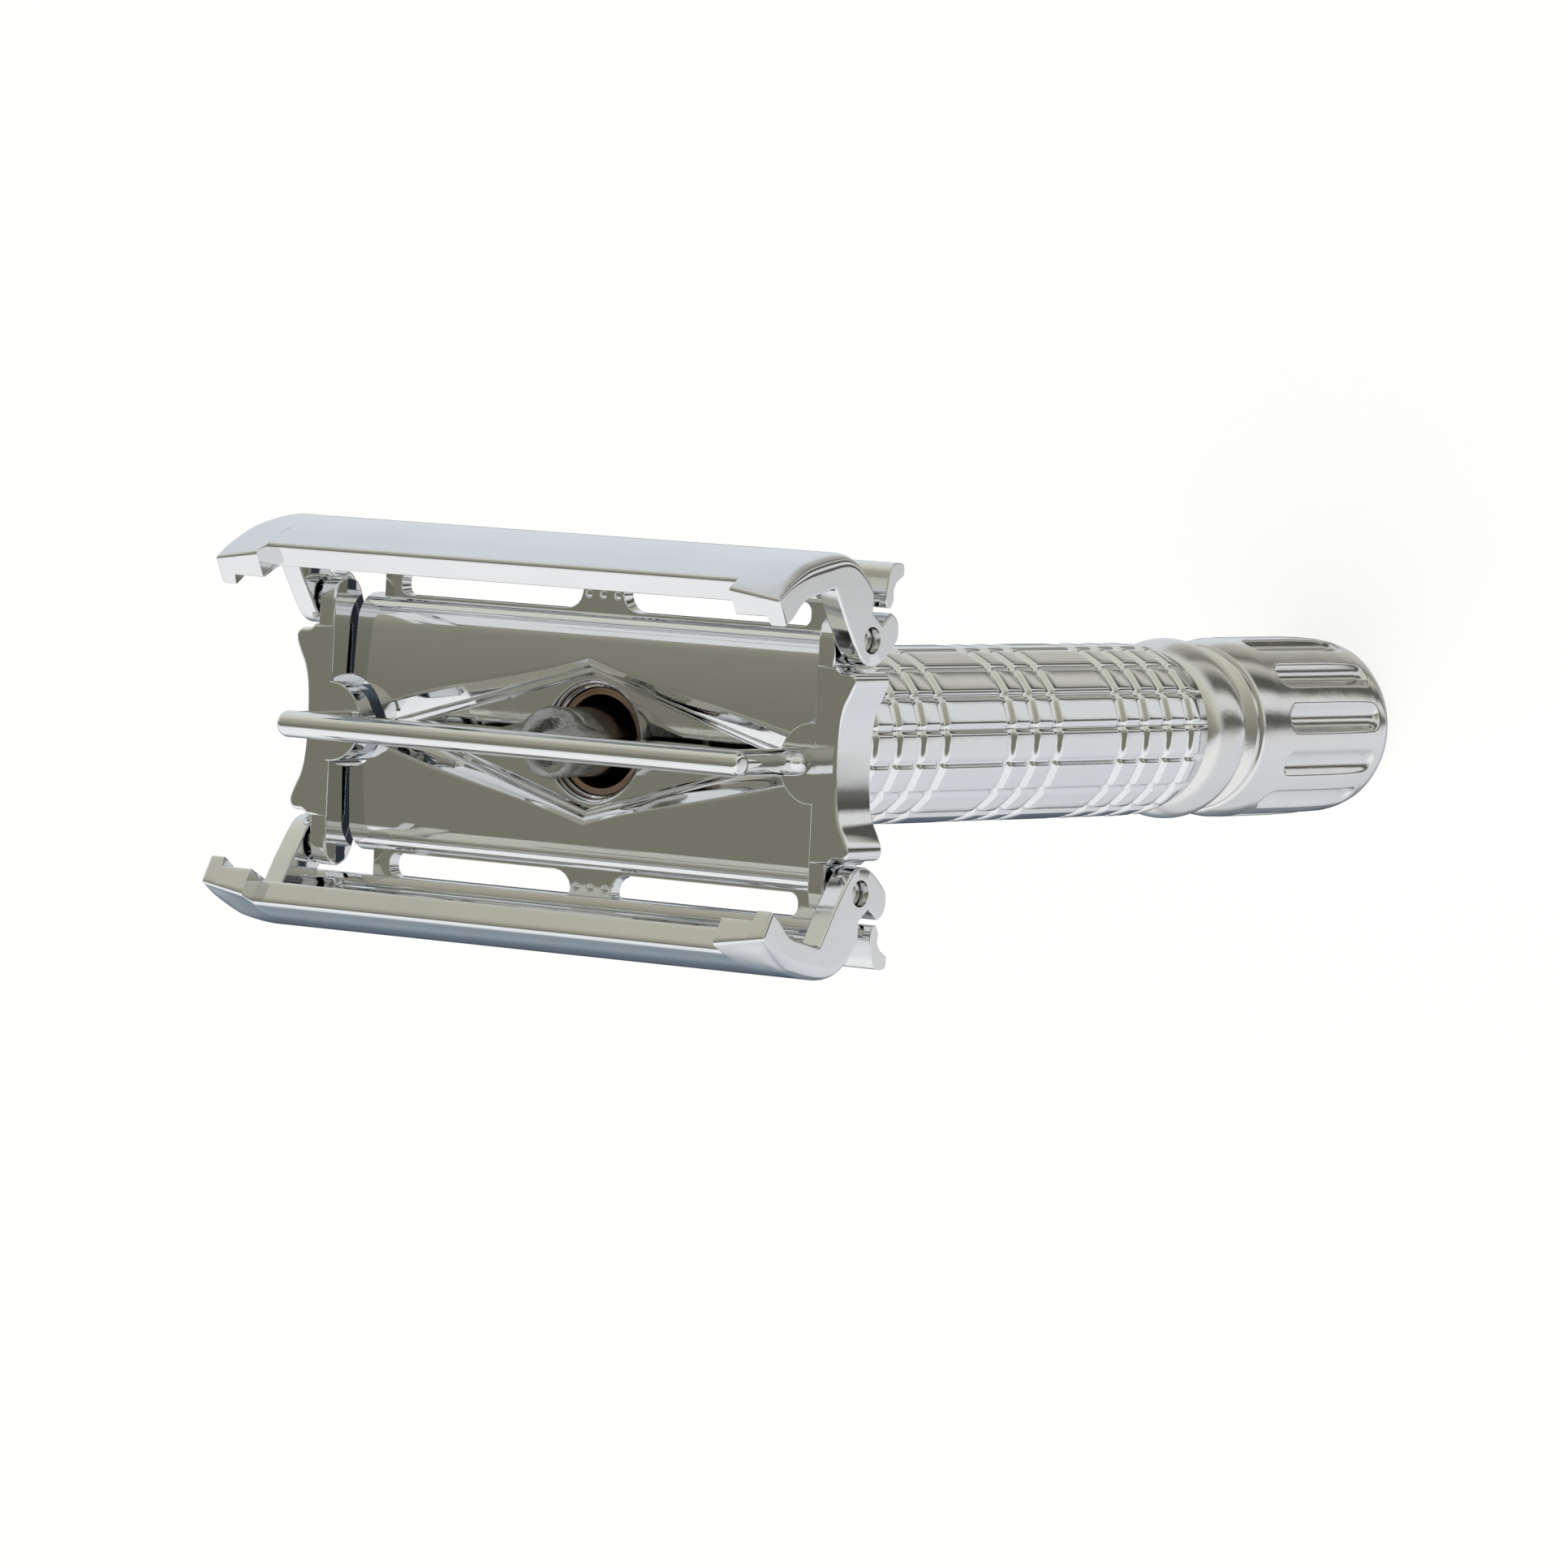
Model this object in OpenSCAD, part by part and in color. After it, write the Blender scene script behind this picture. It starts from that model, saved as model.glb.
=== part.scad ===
// Butterfly (twist-to-open) double-edge safety razor, doors open.
// Z runs along the handle toward the head, X along the head, Y across it.
// The origin is the centre of the knob's flat end.

/* [Head] */
// Length of each door along the head
door_len = 43; // [42.6:0.1:43.4]
// Length of the blade bed
bed_len = 36.4; // [36:0.1:36.6]
// Width of the blade bed
bed_w = 15.8; // [15.4:0.1:16]
// Overall width across the two guard bars
guard_w = 24; // [23.6:0.1:24.4]
// Thickness of each door's curved cover
door_t = 1.2; // [1.1:0.05:1.3]
// Width of each door ear along the head
ear_t = 1.5; // [1.3:0.05:1.5]
// Diameter of the four door pins
pin_d = 1.5; // [1.3:0.1:1.6]
// Length of the centre bar's ridge
bar_len = 35.2; // [34:0.1:35.4]
// Width of the centre bar's rounded ridge
ridge_d = 1.6; // [1.4:0.1:1.6]
// Thickness of the centre bar's web
web_t = 1.2; // [1:0.1:1.3]

/* [Mechanism] */
// Height of the blade bed above the knob's end
bed_z = 79; // [78:0.5:80]
// Travel of the carriage between open and closed
lift = 2.8; // [2.6:0.05:2.8]
// Diameter of the lift rod
rod_d = 4.2; // [4:0.1:4.2]
// Diameter of the drive screw over its thread
screw_d = 3; // [2.8:0.1:3.1]
// Radial clearance of every running fit
fit = 0.05; // [0.03:0.01:0.08]

/* [Handle] */
// Radius of the grip over its tiles
grip_r = 5.65; // [5.5:0.05:5.7]
// Depth of the ring grooves in the grip
ring_depth = 0.32; // [0.2:0.02:0.4]
// Width of each ring groove
ring_w = 0.55; // [0.4:0.05:0.7]
// Spacing of the ring grooves within a group
ring_p = 2.48; // [2.4:0.02:2.5]
// Number of lengthwise rows of tiles
rows = 16; // [12:1:18]
// Radius of the polished ball collar
ball_r = 5.85; // [5.7:0.05:5.9]
// Radius of the knob over its lands
knob_r = 5.9; // [5.8:0.05:6]
// Number of flutes around the knob
flutes = 12; // [10:1:12]
// Length of the knob
knob_len = 15; // [14.6:0.1:15]

/* [Hidden] */

chrome = [0.80, 0.81, 0.82];
chrome_dark = [0.62, 0.63, 0.64];
copper = [0.72, 0.50, 0.36];
steel_dark = [0.33, 0.33, 0.32];
brass = [0.78, 0.66, 0.36];

hinge_y = 7.45;               // door pivot, from the head's mid plane
hinge_z = bed_z + 0.35;       // door pivot height with the doors open
cap_in = bed_len / 2 + 0.3;   // inner face of the end caps
ear_in = door_len / 2 - ear_t;// inner face of the door ears
cap_h = 1.75;                 // half height of an end cap
hub_r = 3.5;                  // mouth of the hole through the bed
bore_r = 3.6;                 // bore of the grip tube
rod_r = rod_d / 2;
screw_r = screw_d / 2;

// extrudes a (y, z) outline along x, centred on x = 0
module along_x(len) rotate([90, 0, 90]) linear_extrude(height = len, center = true) children();
// keeps the positive-y half's shape and adds its mirror image
module both_y() { children(); mirror([0, 1, 0]) children(); }
module both_x() { children(); mirror([1, 0, 0]) children(); }

function arc(cx, cy, r, a0, a1, n) = [for (i = [0:n]) [cx + r * cos(a0 + (a1 - a0) * i / n), cy + r * sin(a0 + (a1 - a0) * i / n)]];

// ---------------------------------------------------------------- head

// blade bed: shallow arch that rolls off at both long edges
bed_edge = bed_w / 2;
function bed_top(y) = -y * y / 160;
roll = 2; // radius of the roll-off at each long edge
bed_outline = concat(
    [for (i = [0:8]) let (y = -(bed_edge - roll) + i * (bed_edge - roll) / 8) [y, bed_top(y)]],
    [for (i = [1:8]) let (y = i * (bed_edge - roll) / 8) [y, bed_top(y)]],
    arc(bed_edge - roll, bed_top(bed_edge - roll) - roll, roll, 78, 0, 7),
    [[bed_edge, -2.35], [5.2, -2.7], [-5.2, -2.7], [-bed_edge, -2.35]],
    arc(-(bed_edge - roll), bed_top(bed_edge - roll) - roll, roll, 180, 102, 7));

// guard bar: hooked channel section
guard_out = guard_w / 2;
guard_outline = concat(
    [[9.33, -1.32], [9.38, -0.95], [9.9, -0.78], [10.9, -0.92]],
    arc(guard_out - 0.5, -1.62, 0.5, 70, 0, 4),
    arc(guard_out - 0.3, -2.2, 0.3, 0, -90, 3),
    [[guard_out - 0.75, -2.5], [guard_out - 1.0, -2.05], [10.35, -1.56], [9.85, -1.6]]);

module diamond(hx, hy) polygon([[hx, 0], [0, hy], [-hx, 0], [0, -hy]]);

module base_plate() color(chrome) translate([0, 0, bed_z]) difference() {
    union() {
        along_x(bed_len) polygon(bed_outline);
        both_y() along_x(door_len) polygon(guard_outline);
        // floor that carries the guard bars: centre bridge and two end bridges
        both_y() translate([-17, bed_edge - 0.6, -2.2]) cube([34, 9.6 - bed_edge + 0.6, 0.95]);
        translate([0, 0, -4]) cylinder(h = 4, r = 5.1, $fn = 96);
        translate([0, 0, -8]) cylinder(h = 5, r = 4.29, $fn = 96);
    }
    // everything above the arch belongs to the blade space
    translate([-30, -5.2, 0]) cube([60, 10.4, 6]);
    // hole for the lift rod, wider at its mouth
    translate([0, 0, -9]) cylinder(h = 12, r = 3.3, $fn = 96);
    translate([0, 0, -1.5]) cylinder(h = 3, r = hub_r, $fn = 96);
    // diamond pocket under the centre bar, in two steps
    translate([0, 0, -0.35]) linear_extrude(height = 3) diamond(16.2, 4.6);
    translate([0, 0, -0.9]) linear_extrude(height = 3) diamond(14.4, 4.1);
    // half-round notches for the carriage
    both_x() translate([bed_len / 2 + 0.3, 0, -4]) cylinder(h = 8, r = 2.85, $fn = 72);
    // lather slots
    both_y() both_x() translate([2.65, bed_edge, -4]) cube([13.05, 1.42, 5]);
    // drain dimples on the centre bridges
    both_y() for (x = [-1.1, 0, 1.1]) translate([x, 8.7, -1.35]) cylinder(h = 1, r = 0.22, $fn = 24);
}

module neck_sleeve() color(copper) translate([0, 0, bed_z - 9]) difference() {
    cylinder(h = 7.4, r = 3.3, $fn = 96);
    translate([0, 0, -1]) cylinder(h = 10, r = 2.75, $fn = 96);
}

// plan of one end cap, for the end at positive x
cap_plan = [[cap_in, 0], [cap_in, 5.9], [20.0, 5.9], [20.35, 5.55], [21.2, 5.5], [21.4, 5.3],
    [21.4, 4.75], [21.1, 4.1], [20.75, 3.4], [20.5, 2.6], [20.38, 1.7], [20.35, 0.8], [20.35, 0]];

module cap_solid() translate([0, 0, hinge_z - 0.35]) difference() {
    union() {
        translate([0, 0, -cap_h]) linear_extrude(height = 2 * cap_h) union() {
            polygon(cap_plan);
            mirror([0, 1]) polygon(cap_plan);
        }
        // half-round boss that carries the centre bar
        intersection() {
            translate([cap_in, 0, -cap_h]) cylinder(h = 2 * cap_h, r = 2.45, $fn = 72);
            translate([cap_in - 3, -4, -3]) cube([3.5, 8, 6]);
        }
        // arms out to the door pins
        both_y() {
            translate([cap_in, 4, -1.2]) cube([1.25, hinge_y - 4, 2.75]);
            translate([cap_in, hinge_y, 0.35]) rotate([0, 90, 0]) cylinder(h = 1.25, r = 1.4, $fn = 48);
            translate([cap_in, 4, -1.75]) cube([1.25, hinge_y - 4.9, 3.5]);
        }
    }
    both_y() translate([cap_in - 1, hinge_y, 0.35]) rotate([0, 90, 0]) cylinder(h = 4, d = pin_d, $fn = 48);
    // rivet hole for the centre bar's foot
    translate([16.95, 0, -3]) cylinder(h = 6, r = 0.45, $fn = 36);
}
module end_cap_right() color(chrome) cap_solid();
module end_cap_left() color(chrome) mirror([1, 0, 0]) cap_solid();

module cap_rivets() color(chrome_dark) both_x() translate([16.95, 0, bed_z - 1.75]) cylinder(h = 4.5, r = 0.45, $fn = 36);

module hinge_pins() color(chrome_dark) both_x() both_y()
    translate([cap_in, hinge_y, hinge_z]) rotate([0, 90, 0])
        cylinder(h = door_len / 2 - cap_in - 0.5, d = pin_d, $fn = 48);

// centre bar: rounded ridge on a thin web with a foot at each end
bar_top = 7.15;
web_outline = [[-17.3, bar_top], [-17.3, 4.2], [-17.15, 1.75], [-16.15, 1.75], [-16.15, 2.4], [-15.6, 3.2],
    [-13.0, 3.2], [-11.8, 2.3], [11.8, 2.3], [13.0, 3.2], [15.6, 3.2], [16.15, 2.4], [16.15, 1.75], [17.15, 1.75],
    [17.3, 4.2], [17.3, bar_top]];
module centre_bar() color(chrome) translate([0, 0, bed_z]) difference() {
    union() {
        translate([-bar_len / 2 + ridge_d / 2, 0, bar_top]) rotate([0, 90, 0]) cylinder(h = bar_len - ridge_d, d = ridge_d, $fn = 48);
        both_x() translate([bar_len / 2 - ridge_d / 2, 0, bar_top]) sphere(d = ridge_d, $fn = 48);
        translate([0, web_t / 2, 0]) rotate([90, 0, 0]) linear_extrude(height = web_t) polygon(web_outline);
        // legs with a rounded outer face and a flared foot
        both_x() hull() {
            translate([16.75, 0, 1.75]) cylinder(h = bar_top - 1.75, r = 0.7, $fn = 48);
            translate([15.9, -0.7, 1.75]) cube([0.5, 1.4, bar_top - 1.75]);
        }
        both_x() hull() {
            translate([17.4, 0, 1.75]) cylinder(h = 0.5, r = 0.7, $fn = 48);
            translate([16.75, 0, 1.75]) cylinder(h = 1.4, r = 0.7, $fn = 48);
        }
        // diamond boss around the riveted rod end
        translate([0, 0, 2.3]) linear_extrude(height = 1.6) union() { diamond(6.2, 2.2); circle(r = 2.2, $fn = 72); }
        translate([0, 0, 3.9]) linear_extrude(height = 0.9) diamond(5, 1.5);
    }
    translate([0, 0, 1]) cylinder(h = 2.4, r = 1.4, $fn = 48);
    translate([0, 0, 1]) cylinder(h = 4.2, r = 0.9, $fn = 48);
    both_x() translate([16.95, 0, 1]) cylinder(h = 1.75, r = 0.45, $fn = 36);
}
// headed end of the rod, closed over inside the boss
module bar_rivet() color(steel_dark) translate([0, 0, bed_z + 3.4]) cylinder(h = 1.8, r = 0.9, $fn = 48);

module lift_rod() color(steel_dark) difference() {
    union() {
        translate([0, 0, 35]) cylinder(h = bed_z + 2.3 - 35, r = rod_r, $fn = 72);
        translate([0, 0, bed_z + 2.3]) cylinder(h = 1.1, r = 1.4, $fn = 48);
    }
    translate([0, 0, 34]) cylinder(h = 19, r = screw_r + 0.3, $fn = 48);
    translate([0, 0, bed_z - 24]) rotate([90, 0, 0]) cylinder(h = 10, r = 0.6, center = true, $fn = 36);
}
module guide_key() color(brass) translate([0, 0, bed_z - 24]) rotate([90, 0, 0]) cylinder(h = 6, r = 0.6, center = true, $fn = 36);
module rod_nut() color(brass) translate([0, 0, 29.7]) difference() {
    cylinder(h = 7.3, r = 3.1, $fn = 72);
    translate([0, 0, 5.3]) cylinder(h = 4, r = rod_r, $fn = 72);
    translate([0, 0, -1]) cylinder(h = 10, r = screw_r + fit, $fn = 48);
}

// doors -------------------------------------------------------------
// outlines are (outward, up) from the pivot, doors open
// section of the crowned middle
door_mid = [[3.0, 9.58], [3.72, 8.45], [4.25, 7.2], [4.65, 5.8], [4.95, 4.3], [5.1, 3.1], [5.12, 2.4],
    [4.85, 1.6], [4.2, 0.8], [3.2, 0.05], [2.5, 0.2], [2.7, 0.8], [3.2, 1.4], [3.62, 2.1], [3.82, 2.9],
    [3.75, 3.9], [3.5, 5.2], [3.1, 6.6], [2.65, 7.9], [2.0, 9.05]];
// section at each end
door_end = [[2.4, 9.26], [3.0, 8.35], [3.62, 7.1], [4.05, 5.6], [4.32, 4.2], [4.45, 3.1], [4.47, 2.4],
    [4.35, 1.76], [3.8, 1.0], [2.95, 0.05], [2.2, 0.2], [2.15, 0.75], [2.6, 1.4], [2.95, 2.1], [3.1, 2.9],
    [3.0, 3.9], [2.72, 5.1], [2.35, 6.5], [2.0, 7.6], [1.45, 8.75]];
ear_outline = [[4.42, 3.1], [4.43, 2.4], [4.3, 1.76], [3.6, 0.9], [2.8, -0.05], [1.65, -0.02], [0.96, -0.92],
    [1.65, -1.84], [1.3, -2.35], [0.8, -2.58], [0.15, -2.58], [-0.35, -2.25], [-1.2, -1.2], [-1.52, -0.5],
    [-1.52, 0.15], [-1.3, 0.7], [-0.88, 1.15], [1.0, 2.5], [2.9, 3.65], [3.05, 3.3]];
lug_outline = [[1.6, 8.82], [0.97, 8.5], [1.85, 6.83], [2.6, 5.4], [3.0, 5.4], [2.4, 7.6]];
// direction from the pivot in which the door's meeting edge recedes
open_a = 62;
lean = 16.86; // lean of the cover's outer face
end_run = 3.5; // length over which the cover rounds down at each end
crown_plan = concat([[-door_len / 2, -12], [door_len / 2, -12], [door_len / 2, 5.5]],
    [for (i = [1:8]) let (a = i * 90 / 8) [door_len / 2 - end_run + end_run * cos(a), 5.5 + 0.8 * sin(a)]],
    [for (i = [0:7]) let (a = 90 + i * 90 / 8) [-door_len / 2 + end_run + end_run * cos(a), 5.5 + 0.8 * sin(a)]],
    [[-door_len / 2, 5.5]]);
module door_solid() translate([0, hinge_y, hinge_z]) difference() {
    union() {
        intersection() {
            along_x(door_len) polygon(door_mid);
            rotate([lean, 0, 0]) translate([0, 0, -8]) linear_extrude(height = 24) polygon(crown_plan);
        }
        both_x() translate([19.85, 0, 0]) along_x(3.3) polygon(door_end);
        both_x() translate([door_len / 2 - ear_t / 2, 0, 0]) along_x(ear_t) polygon(ear_outline);
        // lug that thickens each corner of the meeting edge
        both_x() translate([door_len / 2 - 0.6, 0, 0]) along_x(1.2) polygon(lug_outline);
    }
    // recess of the meeting edge beside the centre bar
    rotate([-open_a, 0, 0]) translate([-17.95, -8, 3.6]) cube([35.9, 1.6, 6]);
    both_x() translate([door_len / 2 - 2, 0, 0]) rotate([0, 90, 0]) cylinder(h = 4, r = pin_d / 2 + fit, $fn = 48);
}
module door_front() color(chrome) door_solid();
module door_back() color(chrome_dark) mirror([0, 1, 0]) door_solid();

// -------------------------------------------------------------- handle
pat_mid = bed_z - 38.7;       // middle of the tile pattern
tube_z0 = 21.4;               // lower end of the grip tube
tube_z1 = bed_z - 4;          // upper end, under the bed's boss
ring_at = [for (k = [-4.5:1:-1.5]) pat_mid - 7.0 - 2.48 + (k + 1.5) * ring_p,
    for (k = [-1:1]) pat_mid + k * ring_p,
    for (k = [0:3]) pat_mid + 7.0 + 2.48 + k * ring_p];
pat_z0 = ring_at[0] - 1.9;
pat_z1 = ring_at[10] + 1.9;
row_turn = 11.25; // angle of the first lengthwise groove

module grip_tube() color(chrome) difference() {
    rotate_extrude($fn = 96) polygon([[bore_r, tube_z0], [5.2, tube_z0], [5.45, tube_z0 + 0.4], [grip_r - 0.1, tube_z0 + 0.9],
        [grip_r, tube_z0 + 1.4], [grip_r, pat_z1], [grip_r - 0.25, pat_z1 + 0.5], [grip_r - 0.1, pat_z1 + 2.2],
        [5.2, pat_z1 + 5], [4.95, pat_z1 + 8], [4.95, tube_z1 - 3], [5.1, tube_z1 - 1], [5.1, tube_z1],
        [4.3, tube_z1], [4.3, tube_z1 - 4], [bore_r, tube_z1 - 4]]);
    for (z = ring_at) translate([0, 0, z - ring_w / 2]) difference() {
        cylinder(h = ring_w, r = grip_r + 1, $fn = 96);
        translate([0, 0, -1]) cylinder(h = ring_w + 2, r = grip_r - ring_depth, $fn = 96);
    }
    for (i = [0:rows - 1]) rotate([0, 0, i * 360 / rows + row_turn])
        translate([grip_r - ring_depth, -0.2, pat_z0]) cube([2, 0.4, pat_z1 - pat_z0]);
}

module rod_guide() color(brass) translate([0, 0, bed_z - 30]) difference() {
    cylinder(h = 12, r = bore_r, $fn = 96);
    translate([0, 0, -1]) cylinder(h = 14, r = rod_r + fit, $fn = 72);
    // keyway that stops the rod turning
    translate([-0.68, -3.2, 1]) cube([1.36, 6.4, 8.5]);
}

collar_z0 = knob_len + 0.5;
module end_collar() color(chrome) rotate_extrude($fn = 96) polygon(concat(
    [[bore_r, collar_z0], [4.95, collar_z0]],
    arc(ball_r - 3.1, (collar_z0 + tube_z0) / 2, 3.1, -62, 62, 16),
    [[4.95, tube_z0], [bore_r, tube_z0]]));

module tail_bush() color(brass) translate([0, 0, collar_z0]) difference() {
    cylinder(h = 8, r = bore_r - 0.01, $fn = 96);
    translate([0, 0, -1]) cylinder(h = 10, r = 2 + fit, $fn = 72);
}
module thrust_washer() color(steel_dark) translate([0, 0, collar_z0 + 8]) difference() {
    cylinder(h = 0.6, r = 3.3, $fn = 72);
    translate([0, 0, -1]) cylinder(h = 3, r = 2.1, $fn = 72);
}
module drive_screw() color(brass) difference() {
    union() {
        translate([0, 0, 3]) cylinder(h = collar_z0 + 9 - 3, r = 2, $fn = 72);
        translate([0, 0, collar_z0 + 8.7]) cylinder(h = 1.2, r = 3.2, $fn = 72);
        translate([0, 0, collar_z0 + 9]) cylinder(h = 44 - collar_z0 - 9, r = screw_r, $fn = 48);
    }
    translate([0, 0, 2]) cylinder(h = 6, r = 0.9, $fn = 48);
}
module retaining_ring() color(steel_dark) translate([0, 0, collar_z0 + 10]) difference() {
    cylinder(h = 0.9, r = bore_r, $fn = 96);
    translate([0, 0, -1]) cylinder(h = 3, r = screw_r + 0.35, $fn = 72);
}
module friction_washer() color(steel_dark) translate([0, 0, knob_len]) difference() {
    cylinder(h = 0.35, r = 5.2, $fn = 72);
    translate([0, 0, -1]) cylinder(h = 3, r = 2, $fn = 72);
}
module knob() color(chrome) difference() {
    rotate_extrude($fn = 96) polygon(concat([[0, 0], [4.5, 0]],
        arc(4.5, 1.1, 1.1, -90, -10, 6),
        [[knob_r - 0.12, 3], [knob_r, 6], [knob_r, 11.5], [knob_r - 0.15, 13.6], [5.3, knob_len], [0, knob_len]]));
    for (i = [0:flutes - 1]) rotate([0, 0, i * 360 / flutes]) translate([knob_r + 0.35, 0, 0]) {
        translate([0, 0, 2.6]) cylinder(h = 8.6, r = 0.95, $fn = 36);
        translate([0, 0, 2.6]) sphere(r = 0.95, $fn = 36);
        translate([0, 0, 11.2]) sphere(r = 0.95, $fn = 36);
    }
    translate([0, 0, 3]) cylinder(h = 20, r = 2, $fn = 72);
    translate([0, 0, -1]) cylinder(h = 2.5, r = 2.4, $fn = 72);
    translate([0, 0, -1]) cylinder(h = 6, r = 0.9, $fn = 48);
}
module knob_screw() color(steel_dark) difference() {
    union() {
        translate([0, 0, 0.3]) cylinder(h = 1.2, r = 2.35, $fn = 72);
        translate([0, 0, 1.5]) cylinder(h = 6.5, r = 0.89, $fn = 48);
    }
    translate([-3, -0.3, 0]) cube([6, 0.6, 0.75]);
}

grip_tube();
base_plate();
neck_sleeve();
rod_guide();
end_collar();
tail_bush();
thrust_washer();
retaining_ring();
knob();
drive_screw();
friction_washer();
knob_screw();
lift_rod();
rod_nut();
guide_key();
centre_bar();
bar_rivet();
end_cap_left();
end_cap_right();
cap_rivets();
hinge_pins();
door_front();
door_back();
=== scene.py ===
import bpy, bmesh, math
import numpy as np
from mathutils import Vector, Matrix


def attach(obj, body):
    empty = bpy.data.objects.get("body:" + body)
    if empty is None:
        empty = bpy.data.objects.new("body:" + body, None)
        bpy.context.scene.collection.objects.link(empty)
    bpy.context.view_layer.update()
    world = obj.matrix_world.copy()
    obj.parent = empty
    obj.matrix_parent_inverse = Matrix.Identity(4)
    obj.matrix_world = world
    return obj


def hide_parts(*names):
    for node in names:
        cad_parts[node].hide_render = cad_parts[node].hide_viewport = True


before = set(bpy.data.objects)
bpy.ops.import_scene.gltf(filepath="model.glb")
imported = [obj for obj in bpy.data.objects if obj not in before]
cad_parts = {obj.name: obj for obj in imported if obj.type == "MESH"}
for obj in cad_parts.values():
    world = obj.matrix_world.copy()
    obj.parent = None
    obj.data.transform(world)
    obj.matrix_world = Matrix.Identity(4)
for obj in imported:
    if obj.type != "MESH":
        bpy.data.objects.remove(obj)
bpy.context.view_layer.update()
scene = bpy.context.scene
MM = 0.001
BED = 79.0            # height of the blade bed, mm
HY, HZ = 7.45, 0.35   # door pivot: across, and above the bed

# ------------------------------------------------------------------ camera
cam_data = bpy.data.cameras.new("camera")
cam = bpy.data.objects.new("camera", cam_data)
scene.collection.objects.link(cam)
scene.camera = cam
r_ = Vector((0.79389725, 0.04687843, -0.60624217)).normalized()
b_ = Vector((0.60370786, 0.05819655, 0.79507860)).normalized()
u_ = b_.cross(r_).normalized()
r_ = u_.cross(b_).normalized()
m = Matrix((r_, u_, b_)).transposed().to_4x4()
m.translation = Vector((0.3626785, 0.0320560, 0.5365911))
cam.matrix_world = m
cam_data.sensor_width = 36.0
cam_data.lens = 223.6025
cam_data.clip_start = 0.01
cam_data.clip_end = 50.0
cam_data.dof.use_dof = False


# ------------------------------------------------------------------ materials
def mat_metal(name, color, rough, rough_var=0.04, bump=0.02, scale=900.0, scratch=0.0, tint=None, tint_amt=0.0, speck=0.0):
    """Plated metal: roughness that wanders, faint polishing lines and a soft tint; the speck argument is not used."""
    mt = bpy.data.materials.new(name)
    mt.use_nodes = True
    nt = mt.node_tree
    nt.nodes.clear()
    out = nt.nodes.new("ShaderNodeOutputMaterial")
    bs = nt.nodes.new("ShaderNodeBsdfPrincipled")
    nt.links.new(bs.outputs["BSDF"], out.inputs["Surface"])
    bs.inputs["Metallic"].default_value = 1.0
    tc = nt.nodes.new("ShaderNodeTexCoord")
    n1 = nt.nodes.new("ShaderNodeTexNoise")
    n1.inputs["Scale"].default_value = scale * 0.25
    n1.inputs["Detail"].default_value = 4.0
    nt.links.new(tc.outputs["Object"], n1.inputs["Vector"])
    rr = nt.nodes.new("ShaderNodeMapRange")
    rr.inputs["From Min"].default_value = 0.3
    rr.inputs["From Max"].default_value = 0.7
    rr.inputs["To Min"].default_value = max(0.01, rough - rough_var)
    rr.inputs["To Max"].default_value = rough + rough_var
    nt.links.new(n1.outputs["Fac"], rr.inputs["Value"])
    nt.links.new(rr.outputs["Result"], bs.inputs["Roughness"])
    mix = nt.nodes.new("ShaderNodeMix")
    mix.data_type = "RGBA"
    mix.inputs["A"].default_value = (*color, 1)
    t = tint or tuple(c * 0.9 for c in color)
    mix.inputs["B"].default_value = (*t, 1)
    n2 = nt.nodes.new("ShaderNodeTexNoise")
    n2.inputs["Scale"].default_value = scale * 0.06
    n2.inputs["Detail"].default_value = 3.0
    nt.links.new(tc.outputs["Object"], n2.inputs["Vector"])
    cr_ = nt.nodes.new("ShaderNodeMapRange")
    cr_.inputs["From Min"].default_value = 0.42
    cr_.inputs["From Max"].default_value = 0.7
    cr_.inputs["To Min"].default_value = 0.0
    cr_.inputs["To Max"].default_value = tint_amt if tint_amt else 0.5
    nt.links.new(n2.outputs["Fac"], cr_.inputs["Value"])
    nt.links.new(cr_.outputs["Result"], mix.inputs["Factor"])
    nt.links.new(mix.outputs["Result"], bs.inputs["Base Color"])
    n3 = nt.nodes.new("ShaderNodeTexNoise")
    n3.inputs["Scale"].default_value = scale
    n3.inputs["Detail"].default_value = 3.0
    mp = nt.nodes.new("ShaderNodeMapping")
    mp.inputs["Scale"].default_value = (0.12, 1.0, 1.0) if scratch else (1, 1, 1)
    nt.links.new(tc.outputs["Object"], mp.inputs["Vector"])
    nt.links.new(mp.outputs["Vector"], n3.inputs["Vector"])
    bp = nt.nodes.new("ShaderNodeBump")
    bp.inputs["Strength"].default_value = bump
    bp.inputs["Distance"].default_value = 0.0001
    nt.links.new(n3.outputs["Fac"], bp.inputs["Height"])
    nt.links.new(bp.outputs["Normal"], bs.inputs["Normal"])
    return mt


M = {}
M["plate"] = mat_metal("chrome_plate", (0.80, 0.81, 0.82), 0.055, 0.02, 0.03, 1400, tint=(0.77, 0.77, 0.76))
M["cap"] = mat_metal("chrome_caps", (0.80, 0.81, 0.82), 0.05, 0.02, 0.03, 1400, tint=(0.76, 0.77, 0.77))
M["bar"] = mat_metal("chrome_bar", (0.81, 0.82, 0.83), 0.05, 0.02, 0.02, 1200, scratch=1.0)
M["door"] = mat_metal("chrome_door_edge", (0.80, 0.81, 0.82), 0.08, 0.03, 0.03, 1300)
M["door_out"] = mat_metal("chrome_door_cover", (0.78, 0.80, 0.83), 0.13, 0.03, 0.05, 1600, scratch=1.0)
M["grip"] = mat_metal("chrome_grip", (0.80, 0.81, 0.82), 0.075, 0.03, 0.04, 1200)
M["collar"] = mat_metal("chrome_collar", (0.79, 0.79, 0.78), 0.19, 0.04, 0.08, 2200)
M["knob"] = mat_metal("chrome_knob", (0.79, 0.79, 0.785), 0.15, 0.04, 0.06, 2000)
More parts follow.
